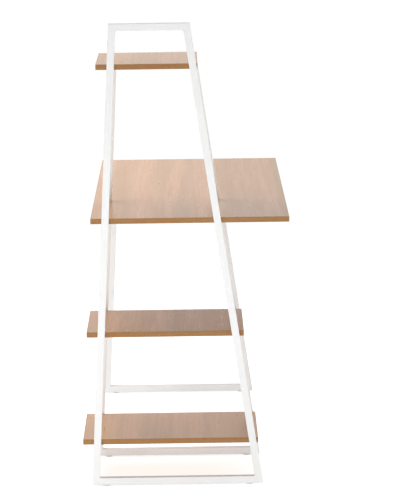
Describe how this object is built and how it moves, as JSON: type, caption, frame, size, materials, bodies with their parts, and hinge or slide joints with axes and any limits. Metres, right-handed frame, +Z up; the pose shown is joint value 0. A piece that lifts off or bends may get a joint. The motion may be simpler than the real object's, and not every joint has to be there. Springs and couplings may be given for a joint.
{
  "type": "computer desk",
  "caption": "Computer desk with a tapering open shelf tower at one end: white square-tube frames carry a wood-grain desk top and shelves on levelling feet.",
  "frame": {"origin": "on the floor, in the middle of the desk's outline seen from above", "axes": "+Z up; X along the desk, with the tall shelf tower at -X; the user sits at -Y and the rear faces +Y"},
  "size_m": [1.2, 0.5776, 1.286],
  "materials": {
    "white_frame": "satin white powder coat",
    "laminate": "wood-grain laminate, matt, grain along the desk",
    "edge_band": "wood-coloured edge band, matt",
    "zinc_steel": "zinc plated",
    "foot_plastic": "moulded white plastic"
  },
  "bodies": {
    "desk": {"bottom_shelf": "laminate", "bottom_shelf_edge_bands": "edge_band", "desk_rail_screws": "zinc_steel", "desk_support_rail": "white_frame", "desk_top": "laminate", "desk_top_edge_bands": "edge_band", "end_frame_bottom_rail": "white_frame", "end_frame_front_leg": "white_frame", "end_frame_rear_post": "white_frame", "end_frame_top_rail": "white_frame", "foot_weld_nuts": "zinc_steel", "hutch_foot_bolts": "zinc_steel", "hutch_foot_nuts": "zinc_steel", "hutch_foot_tabs": "white_frame", "hutch_foot_washers": "zinc_steel", "hutch_front_post": "white_frame", "hutch_rear_post": "white_frame", "hutch_shelf_tabs": "white_frame", "hutch_top_rail": "white_frame", "inner_frame_bottom_rail": "white_frame", "inner_frame_front_leg": "white_frame", "inner_frame_rear_post": "white_frame", "inner_frame_tabs": "white_frame", "inner_frame_top_rail": "white_frame", "lower_shelf": "laminate", "lower_shelf_edge_bands": "edge_band", "outer_frame_bottom_rail": "white_frame", "outer_frame_front_leg": "white_frame", "outer_frame_rear_post": "white_frame", "outer_frame_tabs": "white_frame", "outer_frame_top_rail": "white_frame", "shelf_tab_screws": "zinc_steel", "support_rail_bolts": "zinc_steel", "support_rail_lap_plates": "white_frame", "support_rail_nuts": "zinc_steel", "top_shelf": "laminate", "top_shelf_edge_bands": "edge_band"},
    "outer_frame_rear_foot": {"outer_frame_rear_foot_pad": "foot_plastic", "outer_frame_rear_foot_stud": "zinc_steel"},
    "outer_frame_front_foot": {"outer_frame_front_foot_pad": "foot_plastic", "outer_frame_front_foot_stud": "zinc_steel"},
    "inner_frame_rear_foot": {"inner_frame_rear_foot_pad": "foot_plastic", "inner_frame_rear_foot_stud": "zinc_steel"},
    "inner_frame_front_foot": {"inner_frame_front_foot_pad": "foot_plastic", "inner_frame_front_foot_stud": "zinc_steel"},
    "end_frame_rear_foot": {"end_frame_rear_foot_pad": "foot_plastic", "end_frame_rear_foot_stud": "zinc_steel"},
    "end_frame_front_foot": {"end_frame_front_foot_pad": "foot_plastic", "end_frame_front_foot_stud": "zinc_steel"}
  },
  "joints": [
    {"name": "outer_frame_rear_foot_screw", "type": "slide", "parent": "desk", "child": "outer_frame_rear_foot", "axis": [0, 0, -1], "range_m": [0, 0.01]},
    {"name": "outer_frame_front_foot_screw", "type": "slide", "parent": "desk", "child": "outer_frame_front_foot", "axis": [0, 0, -1], "range_m": [0, 0.01]},
    {"name": "inner_frame_rear_foot_screw", "type": "slide", "parent": "desk", "child": "inner_frame_rear_foot", "axis": [0, 0, -1], "range_m": [0, 0.01]},
    {"name": "inner_frame_front_foot_screw", "type": "slide", "parent": "desk", "child": "inner_frame_front_foot", "axis": [0, 0, -1], "range_m": [0, 0.01]},
    {"name": "end_frame_rear_foot_screw", "type": "slide", "parent": "desk", "child": "end_frame_rear_foot", "axis": [0, 0, -1], "range_m": [0, 0.01]},
    {"name": "end_frame_front_foot_screw", "type": "slide", "parent": "desk", "child": "end_frame_front_foot", "axis": [0, 0, -1], "range_m": [0, 0.01]}
  ]
}
